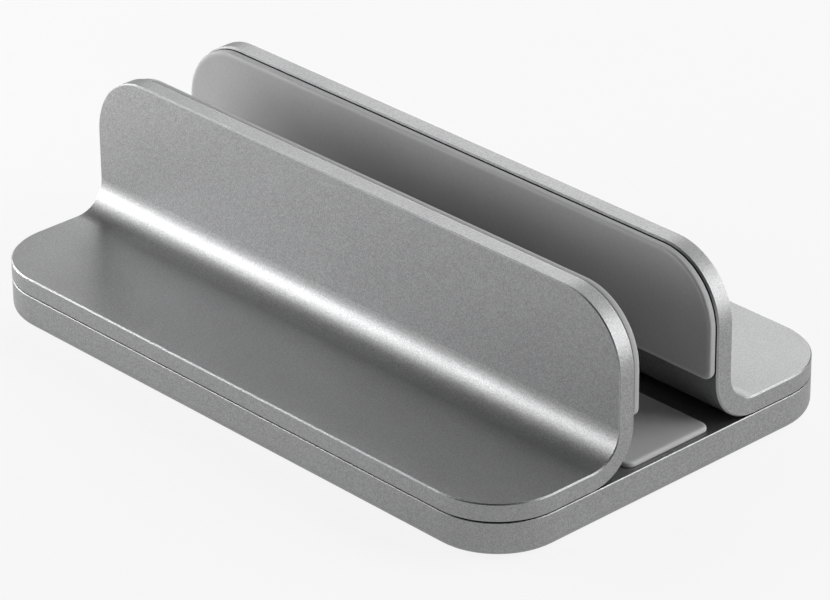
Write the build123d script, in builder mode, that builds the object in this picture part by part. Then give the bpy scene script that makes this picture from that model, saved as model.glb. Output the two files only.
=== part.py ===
from build123d import *
from math import sqrt
import os

# Vertical laptop stand, in millimetres. X runs across the laptop slot, Y along it, and Z up from the desk.
# The origin is on the desk, under the middle of the stand. Both brackets are drawn slid fully outwards.

# Base plate: thick aluminium, with its slots and screw pockets milled from below
BASE_LENGTH = 170.0
BASE_WIDTH = 106.4
BASE_THICKNESS = 8.4
BASE_CORNER_RADIUS = 17.0
BASE_BOTTOM_ROUND = 2.4
BASE_TOP_CHAMFER = 0.15

# Brackets: one aluminium L each, standing on the base along its full length
BRACKET_THICKNESS = 4.5
BRACKET_HEIGHT = 40.4
BRACKET_GAP = 25.2
BRACKET_TRAVEL = 6.0
BEND_INNER_RADIUS = 7.4
PLATE_CORNER_RADIUS = 16.3
OUTER_EDGE_CHAMFER = 0.28
INNER_EDGE_CHAMFER = 0.4

# Soft pads that face the laptop, one on each bracket
SIDE_PAD_THICKNESS = 2.0
SIDE_PAD_MARGIN = 0.5
SIDE_PAD_RIM_ROUND = 0.6
SIDE_PAD_LOWER_RADIUS = 2.0
SIDE_PAD_ABOVE_BEND = 0.8

# Soft pad on the floor of the slot
FLOOR_PAD_THICKNESS = 1.2
FLOOR_PAD_END_MARGIN = 1.6
FLOOR_PAD_CORNER_RADIUS = 2.2
FLOOR_PAD_RIM_ROUND = 0.7
FLOOR_PAD_CLEARANCE = 0.7

# Grip sheet let into the underside of the base
GRIP_THICKNESS = 1.2
GRIP_PROUD = 0.4
GRIP_MARGIN = 7.0
GRIP_CORNER_RADIUS = 11.0
GRIP_RECESS_CLEARANCE = 0.2
GRIP_WINDOW_MARGIN = 0.6

# Clamp screws: low-headed M4 with a hexagon socket, each on a flat washer
SCREW_DIAMETER = 4.0
SCREW_LENGTH = 8.0
SCREW_TIP_CHAMFER = 0.5
HEAD_DIAMETER = 7.0
HEAD_HEIGHT = 2.8
HEAD_CHAMFER = 0.3
SOCKET_ACROSS_FLATS = 2.5
SOCKET_DEPTH = 1.6
WASHER_DIAMETER = 9.0
WASHER_BORE = 4.3
WASHER_THICKNESS = 0.8
SCREW_SPACING = 110.0
SCREW_EDGE_DISTANCE = 15.4

# Room that the screws need
THREAD_CLEARANCE = 0.05
THREAD_END_CLEARANCE = 0.4
WEB_THICKNESS = 4.2
SLOT_SIDE_CLEARANCE = 0.2
SLOT_END_CLEARANCE = 0.1
POCKET_CLEARANCE = 0.3

# Heights above the desk
base_underside = GRIP_PROUD
base_top = base_underside + BASE_THICKNESS
web_underside = base_top - WEB_THICKNESS
bend_outer_radius = BEND_INNER_RADIUS + BRACKET_THICKNESS
bend_top = base_top + bend_outer_radius
bracket_top = base_top + BRACKET_HEIGHT

# The tapped holes hold what is left of a screw past its washer and the web
tapped_depth = SCREW_LENGTH - WASHER_THICKNESS - WEB_THICKNESS + THREAD_END_CLEARANCE

# Distances from the middle of the slot
bracket_inner = BRACKET_GAP / 2
bracket_outer = bracket_inner + BRACKET_THICKNESS
foot_edge = BASE_WIDTH / 2
screw_x = foot_edge - SCREW_EDGE_DISTANCE
slot_x = screw_x - BRACKET_TRAVEL / 2

# The screws slide this far between the ends of their slots
slot_run = BRACKET_TRAVEL + 2 * SLOT_END_CLEARANCE
slot_width = SCREW_DIAMETER + 2 * SLOT_SIDE_CLEARANCE
pocket_width = WASHER_DIAMETER + 2 * POCKET_CLEARANCE
window_width = pocket_width + 2 * GRIP_WINDOW_MARGIN

slot_places = [(x, y) for x in (-slot_x, slot_x) for y in (-SCREW_SPACING / 2, SCREW_SPACING / 2)]
SIDES = {"left": -1, "right": 1}
ENDS = {"front": -1, "back": 1}

os.makedirs("parts", exist_ok=True)


def save(piece, name):
    """Label a finished piece and write it to its own file."""
    piece.label = name
    export_step(piece, f"parts/{name}.step")


# Base plate. A wide round runs under its edge, so only the flat middle comes near the desk.
with BuildPart() as base_plate:
    with BuildSketch(Plane.XY.offset(base_underside)):
        RectangleRounded(BASE_WIDTH, BASE_LENGTH, BASE_CORNER_RADIUS)
    extrude(amount=BASE_THICKNESS)
    fillet(base_plate.faces().sort_by(Axis.Z)[0].edges(), BASE_BOTTOM_ROUND)
    chamfer(base_plate.faces().sort_by(Axis.Z)[-1].edges(), BASE_TOP_CHAMFER)
    # Shallow recess that locates the grip sheet
    with BuildSketch(Plane.XY.offset(base_underside)):
        RectangleRounded(
            BASE_WIDTH - 2 * GRIP_MARGIN + 2 * GRIP_RECESS_CLEARANCE,
            BASE_LENGTH - 2 * GRIP_MARGIN + 2 * GRIP_RECESS_CLEARANCE,
            GRIP_CORNER_RADIUS + GRIP_RECESS_CLEARANCE,
        )
    extrude(amount=GRIP_THICKNESS - GRIP_PROUD, mode=Mode.SUBTRACT)
    # Pockets for the screw heads and washers, up to the web that they clamp
    with BuildSketch(Plane.XY.offset(base_underside)):
        with Locations(*slot_places):
            SlotCenterToCenter(slot_run, pocket_width)
    extrude(amount=BASE_THICKNESS - WEB_THICKNESS, mode=Mode.SUBTRACT)
    # Slots through the web, in which the shanks slide
    with BuildSketch(Plane.XY.offset(web_underside)):
        with Locations(*slot_places):
            SlotCenterToCenter(slot_run, slot_width)
    extrude(amount=WEB_THICKNESS, mode=Mode.SUBTRACT)

save(base_plate.part, "base_plate")


# Grip sheet, with a window around each pocket
with BuildPart() as grip_sheet:
    with BuildSketch():
        RectangleRounded(BASE_WIDTH - 2 * GRIP_MARGIN, BASE_LENGTH - 2 * GRIP_MARGIN, GRIP_CORNER_RADIUS)
        with Locations(*slot_places):
            SlotCenterToCenter(slot_run, window_width, mode=Mode.SUBTRACT)
    extrude(amount=GRIP_THICKNESS)

save(grip_sheet.part, "grip_sheet")


# Floor pad. It is as wide as the brackets allow at their closest, where their bends come down beside it.
bend_rise = sqrt(bend_outer_radius**2 - (bend_outer_radius - FLOOR_PAD_THICKNESS) ** 2)
bend_reach = bracket_inner + bend_outer_radius - bend_rise
floor_pad_width = 2 * (bend_reach - BRACKET_TRAVEL - FLOOR_PAD_CLEARANCE)
with BuildPart() as floor_pad:
    with BuildSketch(Plane.XY.offset(base_top)):
        RectangleRounded(floor_pad_width, BASE_LENGTH - 2 * FLOOR_PAD_END_MARGIN, FLOOR_PAD_CORNER_RADIUS)
    extrude(amount=FLOOR_PAD_THICKNESS)
    fillet(floor_pad.faces().sort_by(Axis.Z)[-1].edges(), FLOOR_PAD_RIM_ROUND)

save(floor_pad.part, "floor_pad")


def make_bracket(side):
    """One L-shaped bracket, bent upwards beside the slot, with two tapped holes in its foot."""
    with BuildPart() as bracket:
        with BuildSketch(Plane.XZ):
            with BuildLine():
                lower = FilletPolyline(
                    (side * bracket_inner, bracket_top),
                    (side * bracket_inner, base_top),
                    (side * foot_edge, base_top),
                    radius=bend_outer_radius,
                )
                upper = FilletPolyline(
                    (side * bracket_outer, bracket_top),
                    (side * bracket_outer, base_top + BRACKET_THICKNESS),
                    (side * foot_edge, base_top + BRACKET_THICKNESS),
                    radius=BEND_INNER_RADIUS,
                )
                Line(lower @ 0, upper @ 0)
                Line(lower @ 1, upper @ 1)
            make_face()
        extrude(amount=BASE_LENGTH / 2, both=True)
        # The foot keeps the base's corners, and the plate has its own
        foot_corners = bracket.edges().filter_by(Axis.Z).group_by(SortBy.LENGTH)[0]
        fillet(foot_corners, BASE_CORNER_RADIUS)
        plate_corners = bracket.edges().filter_by(Axis.X).group_by(Axis.Z)[-1]
        fillet(plate_corners, PLATE_CORNER_RADIUS)
        # Both outlines are smooth all round, so a chamfer begun on a top edge runs on along the whole of it.
        # The inner outline's goes under the foot too, where it leaves a thin groove above the base.
        for nearest, size in ((0, INNER_EDGE_CHAMFER), (-1, OUTER_EDGE_CHAMFER)):
            top_edges = bracket.edges().filter_by(Axis.Y).group_by(Axis.Z)[-1]
            chamfer(top_edges.sort_by(lambda edge: side * edge.center().X)[nearest], size)
        with BuildSketch(Plane.XY.offset(base_top)):
            with Locations(*[(side * screw_x, end * SCREW_SPACING / 2) for end in ENDS.values()]):
                Circle(SCREW_DIAMETER / 2 + THREAD_CLEARANCE)
        extrude(amount=tapped_depth, mode=Mode.SUBTRACT)
    return bracket.part


def make_side_pad(side):
    """The pad on a bracket's inner face, which follows the bracket's outline and stops above its bend."""
    low = bend_top + SIDE_PAD_ABOVE_BEND
    high = bracket_top - SIDE_PAD_MARGIN
    with BuildPart() as side_pad:
        with BuildSketch(Plane.YZ.offset(side * bracket_inner)) as outline:
            with Locations((0, (low + high) / 2)):
                Rectangle(BASE_LENGTH - 2 * SIDE_PAD_MARGIN, high - low)
            fillet(outline.vertices().group_by(Axis.Y)[-1], PLATE_CORNER_RADIUS - SIDE_PAD_MARGIN)
            fillet(outline.vertices().group_by(Axis.Y)[0], SIDE_PAD_LOWER_RADIUS)
        extrude(amount=-side * SIDE_PAD_THICKNESS)
        laptop_face = side_pad.faces().filter_by(Axis.X).sort_by(lambda face: side * face.center().X)[0]
        fillet(laptop_face.edges(), SIDE_PAD_RIM_ROUND)
    return side_pad.part


for side_name, side in SIDES.items():
    save(make_bracket(side), f"{side_name}_bracket")
    save(make_side_pad(side), f"{side_name}_side_pad")


def make_screw(x, y):
    """A clamp screw, head down, with its socket open towards the desk."""
    seat = web_underside - WASHER_THICKNESS
    with BuildPart() as screw:
        with BuildSketch(Plane.XY.offset(seat - HEAD_HEIGHT)):
            with Locations((x, y)):
                Circle(HEAD_DIAMETER / 2)
        extrude(amount=HEAD_HEIGHT)
        chamfer(screw.faces().sort_by(Axis.Z)[0].edges(), HEAD_CHAMFER)
        with BuildSketch(Plane.XY.offset(seat - HEAD_HEIGHT)):
            with Locations((x, y)):
                RegularPolygon(SOCKET_ACROSS_FLATS / 2, 6, major_radius=False)
        extrude(amount=SOCKET_DEPTH, mode=Mode.SUBTRACT)
        with BuildSketch(Plane.XY.offset(seat)):
            with Locations((x, y)):
                Circle(SCREW_DIAMETER / 2)
        extrude(amount=SCREW_LENGTH)
        chamfer(screw.faces().sort_by(Axis.Z)[-1].edges(), SCREW_TIP_CHAMFER)
    return screw.part


def make_washer(x, y):
    """The flat washer that bridges the slot above a screw's head."""
    with BuildPart() as washer:
        with BuildSketch(Plane.XY.offset(web_underside - WASHER_THICKNESS)):
            with Locations((x, y)):
                Circle(WASHER_DIAMETER / 2)
                Circle(WASHER_BORE / 2, mode=Mode.SUBTRACT)
        extrude(amount=WASHER_THICKNESS)
    return washer.part


for side_name, side in SIDES.items():
    for end_name, end in ENDS.items():
        place = (side * screw_x, end * SCREW_SPACING / 2)
        save(make_screw(*place), f"clamp_screw_{end_name}_{side_name}")
        save(make_washer(*place), f"clamp_washer_{end_name}_{side_name}")
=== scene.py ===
import math

import bpy
from mathutils import Matrix, Vector


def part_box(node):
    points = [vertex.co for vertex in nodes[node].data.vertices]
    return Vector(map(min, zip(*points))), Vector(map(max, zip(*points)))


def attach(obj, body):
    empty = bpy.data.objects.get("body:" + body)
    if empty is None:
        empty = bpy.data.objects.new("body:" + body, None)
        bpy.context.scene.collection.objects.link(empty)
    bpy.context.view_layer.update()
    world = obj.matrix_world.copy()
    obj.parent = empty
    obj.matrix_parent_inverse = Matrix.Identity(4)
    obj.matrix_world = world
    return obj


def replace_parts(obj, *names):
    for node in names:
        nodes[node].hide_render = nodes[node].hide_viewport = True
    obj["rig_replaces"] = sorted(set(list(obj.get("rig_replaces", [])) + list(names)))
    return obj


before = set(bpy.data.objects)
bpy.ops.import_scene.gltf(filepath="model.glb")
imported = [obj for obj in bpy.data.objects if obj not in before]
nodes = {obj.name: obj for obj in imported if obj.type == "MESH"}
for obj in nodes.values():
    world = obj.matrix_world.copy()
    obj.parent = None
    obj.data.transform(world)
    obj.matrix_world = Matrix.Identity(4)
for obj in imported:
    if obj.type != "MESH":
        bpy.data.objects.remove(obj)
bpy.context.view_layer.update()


# Base plate. A slab milled from thick aluminium plate, with rounded corners and a wide round along its lower
# edge. It is blasted with fine glass beads and anodised a neutral grey, which leaves a dull even sparkle on
# the faces and a thin bright line where the mill broke each edge.

def new_material(name):
    """A material with an empty node tree, its shader already joined to the output."""
    material = bpy.data.materials.new(name)
    material.use_nodes = True
    tree = material.node_tree
    tree.nodes.clear()
    output = tree.nodes.new("ShaderNodeOutputMaterial")
    shader = tree.nodes.new("ShaderNodeBsdfPrincipled")
    tree.links.new(shader.outputs["BSDF"], output.inputs["Surface"])
    return material, tree, shader


def new_group(name, inputs, outputs):
    """A shader node group with named number or vector inputs and named number outputs."""
    group = bpy.data.node_groups.new(name, "ShaderNodeTree")
    for label, kind, value in inputs:
        socket = group.interface.new_socket(label, in_out="INPUT", socket_type=kind)
        if value is not None:
            socket.default_value = value
    for label in outputs:
        group.interface.new_socket(label, in_out="OUTPUT", socket_type="NodeSocketFloat")
    return group, group.nodes.new("NodeGroupInput"), group.nodes.new("NodeGroupOutput")


def number(tree, operation, first, second=None, third=None, clamp=False):
    """A Math node on sockets or plain values."""
    node = tree.nodes.new("ShaderNodeMath")
    node.operation = operation
    node.use_clamp = clamp
    for place, value in enumerate((first, second, third)):
        if isinstance(value, bpy.types.NodeSocket):
            tree.links.new(value, node.inputs[place])
        elif value is not None:
            node.inputs[place].default_value = value
    return node.outputs[0]


def spread(tree, value, low, high, to_low, to_high, smooth=False):
    """A Map Range node: low..high becomes to_low..to_high, clamped."""
    node = tree.nodes.new("ShaderNodeMapRange")
    node.interpolation_type = "SMOOTHSTEP" if smooth else "LINEAR"
    tree.links.new(value, node.inputs["Value"])
    for label, setting in zip(("From Min", "From Max", "To Min", "To Max"), (low, high, to_low, to_high)):
        node.inputs[label].default_value = setting
    return node.outputs["Result"]


def noise(tree, vector, scale, detail, roughness):
    """A Noise Texture node, its vector and scale joined to sockets."""
    node = tree.nodes.new("ShaderNodeTexNoise")
    node.inputs["Detail"].default_value = detail
    node.inputs["Roughness"].default_value = roughness
    tree.links.new(vector, node.inputs["Vector"])
    tree.links.new(scale, node.inputs["Scale"])
    return node.outputs["Fac"]


def blend_colour(tree, amount, first, second):
    """A Mix node on two colours: the first where the amount is 0, the second where it is 1."""
    node = tree.nodes.new("ShaderNodeMix")
    node.data_type = "RGBA"
    sockets = (node.inputs["Factor"], node.inputs[6], node.inputs[7])
    for socket, value in zip(sockets, (amount, first, second)):
        if isinstance(value, bpy.types.NodeSocket):
            tree.links.new(value, socket)
        else:
            socket.default_value = value + (1.0,)
    return node.outputs[2]


def place_group(tree, group, **settings):
    """A group node in a material, with its inputs set or joined by name."""
    node = tree.nodes.new("ShaderNodeGroup")
    node.node_tree = group
    for label, value in settings.items():
        socket = node.inputs[label.replace("_", " ")]
        if isinstance(value, bpy.types.NodeSocket):
            tree.links.new(value, socket)
        else:
            socket.default_value = value
    return node.outputs


def own_place(tree):
    """The point on the surface, read in the object's own metres."""
    return tree.nodes.new("ShaderNodeTexCoord").outputs["Object"]


def add_bump(tree, shader, height, strength, depth):
    """A Bump node between a height and the shader's normal."""
    bump = tree.nodes.new("ShaderNodeBump")
    bump.inputs["Strength"].default_value = strength
    bump.inputs["Distance"].default_value = depth
    tree.links.new(height, bump.inputs["Height"])
    tree.links.new(bump.outputs["Normal"], shader.inputs["Normal"])


def shade(colour, factor):
    """A colour times a factor, no channel above 1."""
    return tuple(min(1.0, factor * channel) for channel in colour)


def dress(piece, material):
    """Gives an object one material in place of those that it has."""
    piece.data.materials.clear()
    piece.data.materials.append(material)


DENTS_PER_METRE = 3300.0
CLOUDS_PER_METRE = 45.0
EDGE_REACH = 0.0002
BREAKS_PER_METRE = 900.0
JOINT_REACH = 0.0005

# Blasted surface: dents a third of a millimetre across, a wider cloudiness, and the height of the dents.
blasted, entry, result = new_group(
    "blasted surface",
    (
        ("Place", "NodeSocketVector", None),
        ("Dents per metre", "NodeSocketFloat", DENTS_PER_METRE),
        ("Clouds per metre", "NodeSocketFloat", CLOUDS_PER_METRE),
    ),
    ("Sparkle", "Clouds", "Height"),
)
fine = noise(blasted, entry.outputs["Place"], entry.outputs["Dents per metre"], 1.0, 0.5)
broad = noise(blasted, entry.outputs["Place"], entry.outputs["Clouds per metre"], 3.0, 0.6)
middle_scale = number(blasted, "MULTIPLY", entry.outputs["Dents per metre"], 0.45)
middle = noise(blasted, entry.outputs["Place"], middle_scale, 1.0, 0.5)
sparkle = number(blasted, "MULTIPLY_ADD", middle, 0.2, number(blasted, "MULTIPLY", fine, 0.8))
blasted.links.new(spread(blasted, sparkle, 0.32, 0.68, 0.0, 1.0), result.inputs["Sparkle"])
blasted.links.new(spread(blasted, broad, 0.3, 0.7, 0.0, 1.0), result.inputs["Clouds"])
blasted.links.new(sparkle, result.inputs["Height"])

# Worn edge: 1 where the surface turns within a short reach, 0 on the flats, broken up along its length.
worn_edge, entry, result = new_group(
    "worn edge",
    (
        ("Place", "NodeSocketVector", None),
        ("Reach", "NodeSocketFloat", EDGE_REACH),
        ("Breaks per metre", "NodeSocketFloat", BREAKS_PER_METRE),
    ),
    ("Edge",),
)
turned = worn_edge.nodes.new("ShaderNodeBevel")
turned.samples = 4
worn_edge.links.new(entry.outputs["Reach"], turned.inputs["Radius"])
facing = worn_edge.nodes.new("ShaderNodeNewGeometry")
across = worn_edge.nodes.new("ShaderNodeVectorMath")
across.operation = "DOT_PRODUCT"
worn_edge.links.new(turned.outputs["Normal"], across.inputs[0])
worn_edge.links.new(facing.outputs["Normal"], across.inputs[1])
edge = spread(worn_edge, across.outputs["Value"], 0.995, 0.90, 0.0, 1.0)
breaks = noise(worn_edge, entry.outputs["Place"], entry.outputs["Breaks per metre"], 2.0, 0.6)
kept = spread(worn_edge, breaks, 0.3, 0.6, 0.45, 1.0)
worn_edge.links.new(number(worn_edge, "MULTIPLY", edge, kept, clamp=True), result.inputs["Edge"])

# Painted shade in grooves: 1 deep in the groove where two pieces meet, 0 on every open face. Ambient
# occlusion finds the groove, and the material darkens it there as painted shade.
joint_painted_shade, entry, result = new_group("joint_painted_shade", (("Reach", "NodeSocketFloat", JOINT_REACH),), ("Depth",))
closed_in = joint_painted_shade.nodes.new("ShaderNodeAmbientOcclusion")
closed_in.samples = 8
joint_painted_shade.links.new(entry.outputs["Reach"], closed_in.inputs["Distance"])
joint_painted_shade.links.new(spread(joint_painted_shade, closed_in.outputs["AO"], 0.9, 0.55, 0.0, 1.0), result.inputs["Depth"])

METAL_GREY = (0.355, 0.356, 0.359)
METAL_CLOUD = (0.20, 0.20, 0.205)
BARE_METAL = (0.62, 0.62, 0.63)
METAL_PAINTED_SHADE = (0.015, 0.015, 0.015)
FILM_DARK = 0.80
FILM_LIGHT = 1.21
METAL_ROUGHNESS = 0.42
DENT_DEPTH = 0.00005

# Anodised aluminium: a grey film over a dented surface, bright bare metal on broken edges, painted shade in
# grooves.
metal, tree, shader = new_material("anodised_aluminium")
place = own_place(tree)
surface = place_group(tree, blasted, Place=place, Dents_per_metre=DENTS_PER_METRE)
edges = place_group(tree, worn_edge, Place=place, Reach=EDGE_REACH)
shade_in_joint = place_group(tree, joint_painted_shade, Reach=JOINT_REACH)
body = blend_colour(tree, surface["Sparkle"], shade(METAL_GREY, FILM_DARK), shade(METAL_GREY, FILM_LIGHT))
body = blend_colour(tree, spread(tree, surface["Clouds"], 0.0, 1.0, 0.0, 0.06), body, METAL_CLOUD)
body = blend_colour(tree, number(tree, "MULTIPLY", edges["Edge"], 0.9), body, BARE_METAL)
# Painted shade: deep in a groove, such as under a foot's edge, the colour goes almost black.
body = blend_colour(tree, shade_in_joint["Depth"], body, METAL_PAINTED_SHADE)
tree.links.new(body, shader.inputs["Base Color"])
rough = number(tree, "MULTIPLY_ADD", surface["Clouds"], 0.03, METAL_ROUGHNESS)
rough = number(tree, "MULTIPLY_ADD", surface["Sparkle"], 0.05, rough)
rough = number(tree, "MULTIPLY_ADD", edges["Edge"], -0.12, rough)
tree.links.new(rough, shader.inputs["Roughness"])
shader.inputs["Metallic"].default_value = 1.0
add_bump(tree, shader, surface["Height"], 0.9, DENT_DEPTH)
dress(nodes["base_plate"], metal)


# Brackets. Two equal lengths of aluminium flat, each bent once on a generous radius into an L, cut to
# rounded corners, and finished with the base plate so that the three match. Two screws hold each foot down.

for name in ("left_bracket", "right_bracket"):
    dress(nodes[name], metal)


# Side pads. Moulded sheets of soft grey silicone, glued to the plates' inner faces just inside their
# outline. The mould gives the face a dull grain and rounds the rim at both sides, so a thin dark line
# is left along the glue, which painted shade deepens, and the rounded rim is paler with a painted highlight.

RIM_REACH = 0.0014

# Painted rim highlight: 1 where the rubber is thin, at its rounded edges, 0 in the middle of a face.
rim_painted_highlight, entry, result = new_group("rim painted highlight", (("Reach", "NodeSocketFloat", RIM_REACH),), ("Rim",))
# Occlusion traced inside the rubber finds where it is thin; there the colour is lightened as painted
# highlight.
through = rim_painted_highlight.nodes.new("ShaderNodeAmbientOcclusion")
through.samples = 8
through.inside = True
rim_painted_highlight.links.new(entry.outputs["Reach"], through.inputs["Distance"])
rim_painted_highlight.links.new(spread(rim_painted_highlight, through.outputs["AO"], 0.97, 0.6, 0.0, 1.0), result.inputs["Rim"])

SKIN_CLOUDS_PER_METRE = 30.0
SKIN_GLINT = (0.75, 0.75, 0.75)
SILICONE_PAINTED_SHADE = (0.02, 0.02, 0.02)
SKIN_DARK = 0.93
SKIN_LIGHT = 1.06
RIM_PAINTED_HIGHLIGHT = 1.7
SPARKLE_ROUGHNESS = 0.08
GRAIN_DEPTH = 0.00003


def silicone(name, colour, grain, roughness):
    """Moulded silicone: matt, faintly clouded, with a fine pebbled skin, rims paled as painted highlight and
    painted shade where it meets another piece.
    """
    material, tree, shader = new_material(name)
    skin = place_group(tree, blasted, Place=own_place(tree), Dents_per_metre=grain,
                       Clouds_per_metre=SKIN_CLOUDS_PER_METRE)
    edges = place_group(tree, rim_painted_highlight, Reach=RIM_REACH)
    shade_in_joint = place_group(tree, joint_painted_shade, Reach=JOINT_REACH)
    body = blend_colour(tree, skin["Clouds"], shade(colour, SKIN_DARK), shade(colour, SKIN_LIGHT))
    body = blend_colour(tree, number(tree, "MULTIPLY", skin["Sparkle"], 0.12), body, SKIN_GLINT)
    # Painted highlight: the rims are made paler than the face.
    body = blend_colour(tree, edges["Rim"], body, shade(colour, RIM_PAINTED_HIGHLIGHT))
    # Painted shade: where the silicone meets the plate or the base, it is darkened almost to black.
    body = blend_colour(tree, number(tree, "MULTIPLY", shade_in_joint["Depth"], 0.7), body, SILICONE_PAINTED_SHADE)
    tree.links.new(body, shader.inputs["Base Color"])
    least_rough = roughness - SPARKLE_ROUGHNESS / 2
    rough = number(tree, "MULTIPLY_ADD", skin["Sparkle"], SPARKLE_ROUGHNESS, least_rough)
    tree.links.new(rough, shader.inputs["Roughness"])
    shader.inputs["Specular IOR Level"].default_value = 0.4
    add_bump(tree, shader, skin["Height"], 0.5, GRAIN_DEPTH)
    return material


def start_block(name, low, high):
    """A cube added at a piece's place and size, with its place in its mesh, everything else deselected."""
    bpy.ops.object.select_all(action="DESELECT")
    bpy.ops.mesh.primitive_cube_add(size=1.0, location=(low + high) / 2, scale=high - low)
    block = bpy.context.object
    block.name = name
    block.data.name = name
    bpy.ops.object.transform_apply(location=True, rotation=True, scale=True)
    return block


def bevel_where(block, chosen, width, steps):
    """Rounds the edges that chosen picks by their two ends, in edit mode."""
    mesh = block.data
    for part in (mesh.vertices, mesh.polygons):
        part.foreach_set("select", [False] * len(part))
    for edge in mesh.edges:
        edge.select = chosen(*(mesh.vertices[end].co for end in edge.vertices))
    bpy.context.tool_settings.mesh_select_mode = (False, True, False)
    bpy.ops.object.mode_set(mode="EDIT")
    bpy.ops.mesh.bevel(offset=width, segments=steps, profile=0.5, affect="EDGES", clamp_overlap=True)
    bpy.ops.object.mode_set(mode="OBJECT")


SMOOTH_TURN = math.radians(35.0)


def finish_piece(block, material):
    """Points the faces outwards, smooths what turns gently, and gives the piece its material."""
    bpy.ops.object.select_all(action="DESELECT")
    block.select_set(True)
    bpy.context.view_layer.objects.active = block
    bpy.ops.object.mode_set(mode="EDIT")
    bpy.ops.mesh.select_all(action="SELECT")
    bpy.ops.mesh.normals_make_consistent(inside=False)
    bpy.ops.object.mode_set(mode="OBJECT")
    bpy.ops.object.shade_smooth_by_angle(angle=SMOOTH_TURN)
    dress(block, material)


PAD_GREY = (0.42, 0.42, 0.422)
PAD_GRAIN_PER_METRE = 1500.0
PAD_ROUGHNESS = 0.62
PAD_TOP_ROUND = 0.0158
PAD_LOWER_ROUND = 0.002
PAD_RIM_ROUND = 0.0006
PAD_BACK_ROUND = 0.0006
NEAR = 1e-6


def crosses_pad(a, b):
    """True for an edge that runs straight through a side pad's thickness."""
    return abs(a.z - b.z) < NEAR and abs(a.y - b.y) < NEAR


pad_silicone = silicone("grey_silicone", PAD_GREY, PAD_GRAIN_PER_METRE, PAD_ROUGHNESS)
low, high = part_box("left_side_pad")
left_pad = start_block("left_side_pad_moulded", low, high)
bevel_where(left_pad, lambda a, b: crosses_pad(a, b) and a.z > high.z - NEAR, PAD_TOP_ROUND, steps=24)
bevel_where(left_pad, lambda a, b: crosses_pad(a, b) and a.z < low.z + NEAR, PAD_LOWER_ROUND, steps=8)
bevel_where(left_pad, lambda a, b: a.x > high.x - NEAR and b.x > high.x - NEAR, PAD_RIM_ROUND, steps=5)
bevel_where(left_pad, lambda a, b: a.x < low.x + NEAR and b.x < low.x + NEAR, PAD_BACK_ROUND, steps=4)
finish_piece(left_pad, pad_silicone)
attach(left_pad, "left_side")
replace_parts(left_pad, "left_side_pad")

right_pad = left_pad.copy()
right_pad.data = left_pad.data.copy()
right_pad.name = right_pad.data.name = "right_side_pad_moulded"
bpy.context.scene.collection.objects.link(right_pad)
right_pad.parent = None
right_pad.data.transform(Matrix.Diagonal((-1.0, 1.0, 1.0, 1.0)))
right_pad.data.flip_normals()
del right_pad["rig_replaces"]
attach(right_pad, "right_side")
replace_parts(right_pad, "right_side_pad")


# Floor pad. A thinner strip of the same silicone, glued to the base plate along the bottom of the slot.
# The laptop's edge stands on it. Its corners are small rounds and its top edge is rounded all the way round.

FLOOR_PAD_CORNER = 0.0022
FLOOR_PAD_RIM = 0.0007


def stands_up(a, b):
    """True for an edge that stands straight up."""
    return abs(a.x - b.x) < NEAR and abs(a.y - b.y) < NEAR


low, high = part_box("floor_pad")
floor_pad = start_block("floor_pad_moulded", low, high)
bevel_where(floor_pad, stands_up, FLOOR_PAD_CORNER, steps=8)
bevel_where(floor_pad, lambda a, b: a.z > high.z - NEAR and b.z > high.z - NEAR, FLOOR_PAD_RIM, steps=5)
finish_piece(floor_pad, pad_silicone)
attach(floor_pad, "base")
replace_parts(floor_pad, "floor_pad")


# Clamp screws and washers. Low-headed steel machine screws, turned on a lathe, with a hexagon socket for
# a key, each with a flat pressed washer. They go up from below through the base plate's slots and
# into the brackets' feet, two to a foot.

SCREW_X = 0.0378
SCREW_Y = 0.055
TURNING_MARKS = 1400.0
STEEL_DENTS_PER_METRE = 1800.0
STEEL_CLOUDS_PER_METRE = 400.0
STEEL_GREY = (0.46, 0.46, 0.465)
STEEL_PALE = (0.56, 0.56, 0.565)
STEEL_CLOUD = (0.33, 0.33, 0.34)
STEEL_EDGE = (0.8, 0.8, 0.8)
STEEL_ROUGHNESS = 0.26
MARK_DEPTH = 0.00002

# The turning marks are rings round each screw's axis. The four stand equally far either side of the middle,
# so the place is folded onto one of them.
steel, tree, shader = new_material("screw_steel")
place = own_place(tree)
folded = tree.nodes.new("ShaderNodeVectorMath")
folded.operation = "ABSOLUTE"
tree.links.new(place, folded.inputs[0])
centred = tree.nodes.new("ShaderNodeVectorMath")
centred.operation = "SUBTRACT"
centred.inputs[1].default_value = (SCREW_X, SCREW_Y, 0.0)
tree.links.new(folded.outputs["Vector"], centred.inputs[0])
rings = tree.nodes.new("ShaderNodeTexWave")
rings.wave_type = "RINGS"
rings.rings_direction = "Z"
rings.inputs["Scale"].default_value = TURNING_MARKS
rings.inputs["Distortion"].default_value = 1.5
rings.inputs["Detail"].default_value = 2.0
tree.links.new(centred.outputs["Vector"], rings.inputs["Vector"])
turned_marks = rings.outputs["Fac"]
surface = place_group(tree, blasted, Place=place, Dents_per_metre=STEEL_DENTS_PER_METRE,
                      Clouds_per_metre=STEEL_CLOUDS_PER_METRE)
edges = place_group(tree, worn_edge, Place=place, Reach=EDGE_REACH)
body = blend_colour(tree, turned_marks, STEEL_GREY, STEEL_PALE)
body = blend_colour(tree, number(tree, "MULTIPLY", surface["Clouds"], 0.25), body, STEEL_CLOUD)
body = blend_colour(tree, number(tree, "MULTIPLY", edges["Edge"], 0.6), body, STEEL_EDGE)
tree.links.new(body, shader.inputs["Base Color"])
rough = number(tree, "MULTIPLY_ADD", turned_marks, 0.10, STEEL_ROUGHNESS)
tree.links.new(rough, shader.inputs["Roughness"])
shader.inputs["Metallic"].default_value = 1.0
add_bump(tree, shader, turned_marks, 0.4, MARK_DEPTH)
for name, node in nodes.items():
    if name.startswith("clamp_"):
        dress(node, steel)


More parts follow.
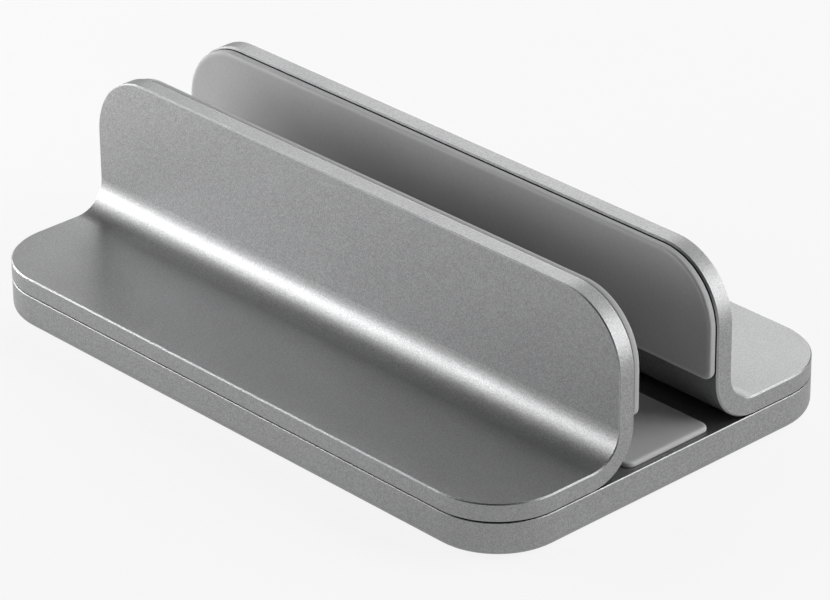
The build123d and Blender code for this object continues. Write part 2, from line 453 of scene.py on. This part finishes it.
# Grip sheet. A thin sheet of dark silicone let into the underside, so that the stand doesn't slide. It is
# punched with a long window round each screw, and its lower face stands just proud of the base plate.

SHEET_GREY = (0.045, 0.045, 0.047)
SHEET_GRAIN_PER_METRE = 1200.0
SHEET_ROUGHNESS = 0.7
SHEET_CORNER = 0.011
SHEET_RIM = 0.0003
WINDOW_CENTRE = (0.0348, 0.055)
WINDOW_LENGTH = 0.0170
WINDOW_WIDTH = 0.0108

dark_silicone = silicone("dark_silicone", SHEET_GREY, SHEET_GRAIN_PER_METRE, SHEET_ROUGHNESS)
low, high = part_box("grip_sheet")
sheet = start_block("grip_sheet_moulded", low, high)
bevel_where(sheet, stands_up, SHEET_CORNER, steps=12)
for side in (-1, 1):
    for end in (-1, 1):
        centre = Vector((side * WINDOW_CENTRE[0], end * WINDOW_CENTRE[1], high.z / 2))
        reach = Vector((WINDOW_LENGTH / 2, WINDOW_WIDTH / 2, high.z))
        punch = start_block("window_punch", centre - reach, centre + reach)
        bevel_where(punch, stands_up, WINDOW_WIDTH / 2 - NEAR, steps=12)
        cut = sheet.modifiers.new("window", "BOOLEAN")
        cut.operation = "DIFFERENCE"
        cut.solver = "EXACT"
        cut.object = punch
        bpy.context.view_layer.objects.active = sheet
        bpy.ops.object.modifier_apply(modifier=cut.name)
        bpy.data.objects.remove(punch)
bevel_where(sheet, lambda a, b: a.z < low.z + NEAR and b.z < low.z + NEAR, SHEET_RIM, steps=2)
finish_piece(sheet, dark_silicone)
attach(sheet, "base")
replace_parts(sheet, "grip_sheet")


# Floor. A plain pale table top, wide enough that it is all the camera sees behind the stand. It keeps
# the stand's soft shadow, and the metal mirrors it as an even pale sheet.

FLOOR_SIZE = 8.0
FLOOR_COLOUR = (0.86, 0.86, 0.86, 1.0)
WHITE = (1.0, 1.0, 1.0, 1.0)
WHITE_TO_CAMERA = 0.86
WHITE_IN_METAL = 0.57


def ray_kinds(tree):
    """1 for a ray straight from the camera, and 1 for one that a surface has mirrored or let through."""
    path = tree.nodes.new("ShaderNodeLightPath")
    mirrored = number(tree, "MAXIMUM", path.outputs["Is Glossy Ray"], path.outputs["Is Transmission Ray"])
    return path.outputs["Is Camera Ray"], mirrored


def choose(tree, switch, first, second):
    """A Mix Shader node: the first shader where the switch is 0, the second where it is 1."""
    node = tree.nodes.new("ShaderNodeMixShader")
    tree.links.new(switch, node.inputs["Fac"])
    tree.links.new(first, node.inputs[1])
    tree.links.new(second, node.inputs[2])
    return node.outputs["Shader"]


bpy.ops.object.select_all(action="DESELECT")
bpy.ops.mesh.primitive_plane_add(size=FLOOR_SIZE, location=(0.0, 0.0, 0.0))
floor = bpy.context.object
floor.name = "floor"
material, tree, shader = new_material("pale_floor")
shader.inputs["Base Color"].default_value = FLOOR_COLOUR
shader.inputs["Roughness"].default_value = 0.9
shader.inputs["Specular IOR Level"].default_value = 0.2
glow = tree.nodes.new("ShaderNodeEmission")
glow.inputs["Color"].default_value = WHITE
glow.inputs["Strength"].default_value = 1.0
straight, mirrored = ray_kinds(tree)
straight = number(tree, "MULTIPLY", straight, WHITE_TO_CAMERA)
seen = number(tree, "MULTIPLY_ADD", mirrored, WHITE_IN_METAL, straight, clamp=True)
mixed = choose(tree, seen, shader.outputs["BSDF"], glow.outputs["Emission"])
output = next(n for n in tree.nodes if n.type == "OUTPUT_MATERIAL")
tree.links.new(mixed, output.inputs["Surface"])
dress(floor, material)


# Light. A long low soft box at the back left, which the bend picks up as a long bright streak, with a weaker
# one above it, another beside it and a low card that reaches into the slot. Three boxes on the right make the
# rounded ends and broken edges shine. The room is dim, and the camera sees it white.

def soft_box(name, place, aim, wide, high, radiance):
    """A flat rectangular lamp at a place, facing a point."""
    lamp = bpy.data.lights.new(name, "AREA")
    lamp.shape = "RECTANGLE"
    lamp.size = wide
    lamp.size_y = high
    lamp.energy = radiance * math.pi * wide * high
    box = bpy.data.objects.new(name, lamp)
    box.location = place
    box.rotation_euler = (Vector(aim) - Vector(place)).to_track_quat("-Z", "Y").to_euler()
    box.visible_camera = False
    bpy.context.scene.collection.objects.link(box)


soft_box("back_left_box", (-0.31, 0.40, 0.145), (0.0, 0.0, 0.145), 0.56, 0.17, 4.15)
soft_box("back_left_top_box", (-0.31, 0.40, 0.315), (0.0, 0.0, 0.315), 0.56, 0.17, 1.2)
soft_box("back_box", (-0.233, 0.4534, 0.145), (0.077, 0.0534, 0.145), 0.374, 0.17, 2.8)
soft_box("left_card", (-0.14, 0.31, 0.045), (0.02, 0.06, 0.03), 0.16, 0.09, 3.1)
soft_box("back_right_box", (0.755, 0.565, 0.48), (0.0, 0.0, 0.03), 0.62, 0.50, 2.54)
soft_box("front_right_box", (0.60, -0.68, 0.41), (0.0, 0.0, 0.03), 0.70, 0.84, 3.45)
soft_box("right_top_box", (0.55, -0.10, 0.72), (0.0, 0.0, 0.03), 0.50, 0.50, 1.42)

ROOM_GLOW = 0.012
WALL_GLOW = 0.55
CEILING_GLOW = 0.08
WALL_TOP = 0.45
CEILING_FROM = 0.70
FRONT_SHARE = 0.25
BACK_FROM = 0.45


def white_background(tree, strength):
    """A white Background node, its strength a plain value or a socket."""
    node = tree.nodes.new("ShaderNodeBackground")
    node.inputs["Color"].default_value = WHITE
    if isinstance(strength, bpy.types.NodeSocket):
        tree.links.new(strength, node.inputs["Strength"])
    else:
        node.inputs["Strength"].default_value = strength
    return node.outputs["Background"]


world = bpy.data.worlds.new("pale_room")
bpy.context.scene.world = world
world.use_nodes = True
tree = world.node_tree
tree.nodes.clear()
looking = tree.nodes.new("ShaderNodeTexCoord")
direction = tree.nodes.new("ShaderNodeSeparateXYZ")
tree.links.new(looking.outputs["Generated"], direction.inputs["Vector"])
height, depth = direction.outputs["Z"], direction.outputs["Y"]
wall_or_ceiling = spread(tree, height, WALL_TOP, CEILING_FROM, WALL_GLOW, CEILING_GLOW, smooth=True)
lit_side = spread(tree, depth, 0.0, BACK_FROM, FRONT_SHARE, 1.0, smooth=True)
room = white_background(tree, ROOM_GLOW)
wall = white_background(tree, number(tree, "MULTIPLY", wall_or_ceiling, lit_side))
straight, mirrored = ray_kinds(tree)
inside = choose(tree, mirrored, room, wall)
output = tree.nodes.new("ShaderNodeOutputWorld")
tree.links.new(choose(tree, straight, inside, white_background(tree, 1.0)), output.inputs["Surface"])


# Camera. A long lens a metre away, which looks down on the stand over its front left corner. It is rolled
# by half a degree and aimed just to the right of the stand's middle and below it.

CAMERA_TURN = math.radians(-42.907)
CAMERA_RISE = math.radians(27.409)
CAMERA_ROLL = math.radians(-0.611)
CAMERA_DISTANCE = 1.007015
AIM_HEIGHT = 0.027
AIM_RIGHT = 0.00292
AIM_DOWN = 0.011743
LENS = 195.6
SENSOR_WIDTH = 36.0

back = Vector((math.sin(CAMERA_TURN) * math.cos(CAMERA_RISE),
               -math.cos(CAMERA_TURN) * math.cos(CAMERA_RISE), math.sin(CAMERA_RISE)))
level = (-back).cross(Vector((0.0, 0.0, 1.0))).normalized()
upright = level.cross(-back)
right = level * math.cos(CAMERA_ROLL) + upright * math.sin(CAMERA_ROLL)
up = upright * math.cos(CAMERA_ROLL) - level * math.sin(CAMERA_ROLL)
target = Vector((0.0, 0.0, AIM_HEIGHT)) + right * AIM_RIGHT - up * AIM_DOWN
camera_data = bpy.data.cameras.new("camera")
camera_data.sensor_width = SENSOR_WIDTH
camera_data.lens = LENS
camera_data.clip_start = 0.01
camera = bpy.data.objects.new("camera", camera_data)
camera.matrix_world = Matrix.Translation(target + back * CAMERA_DISTANCE) @ Matrix(
    (right, up, back)).transposed().to_4x4()
bpy.context.scene.collection.objects.link(camera)
bpy.context.scene.camera = camera

bpy.context.scene.view_settings.view_transform = "Standard"
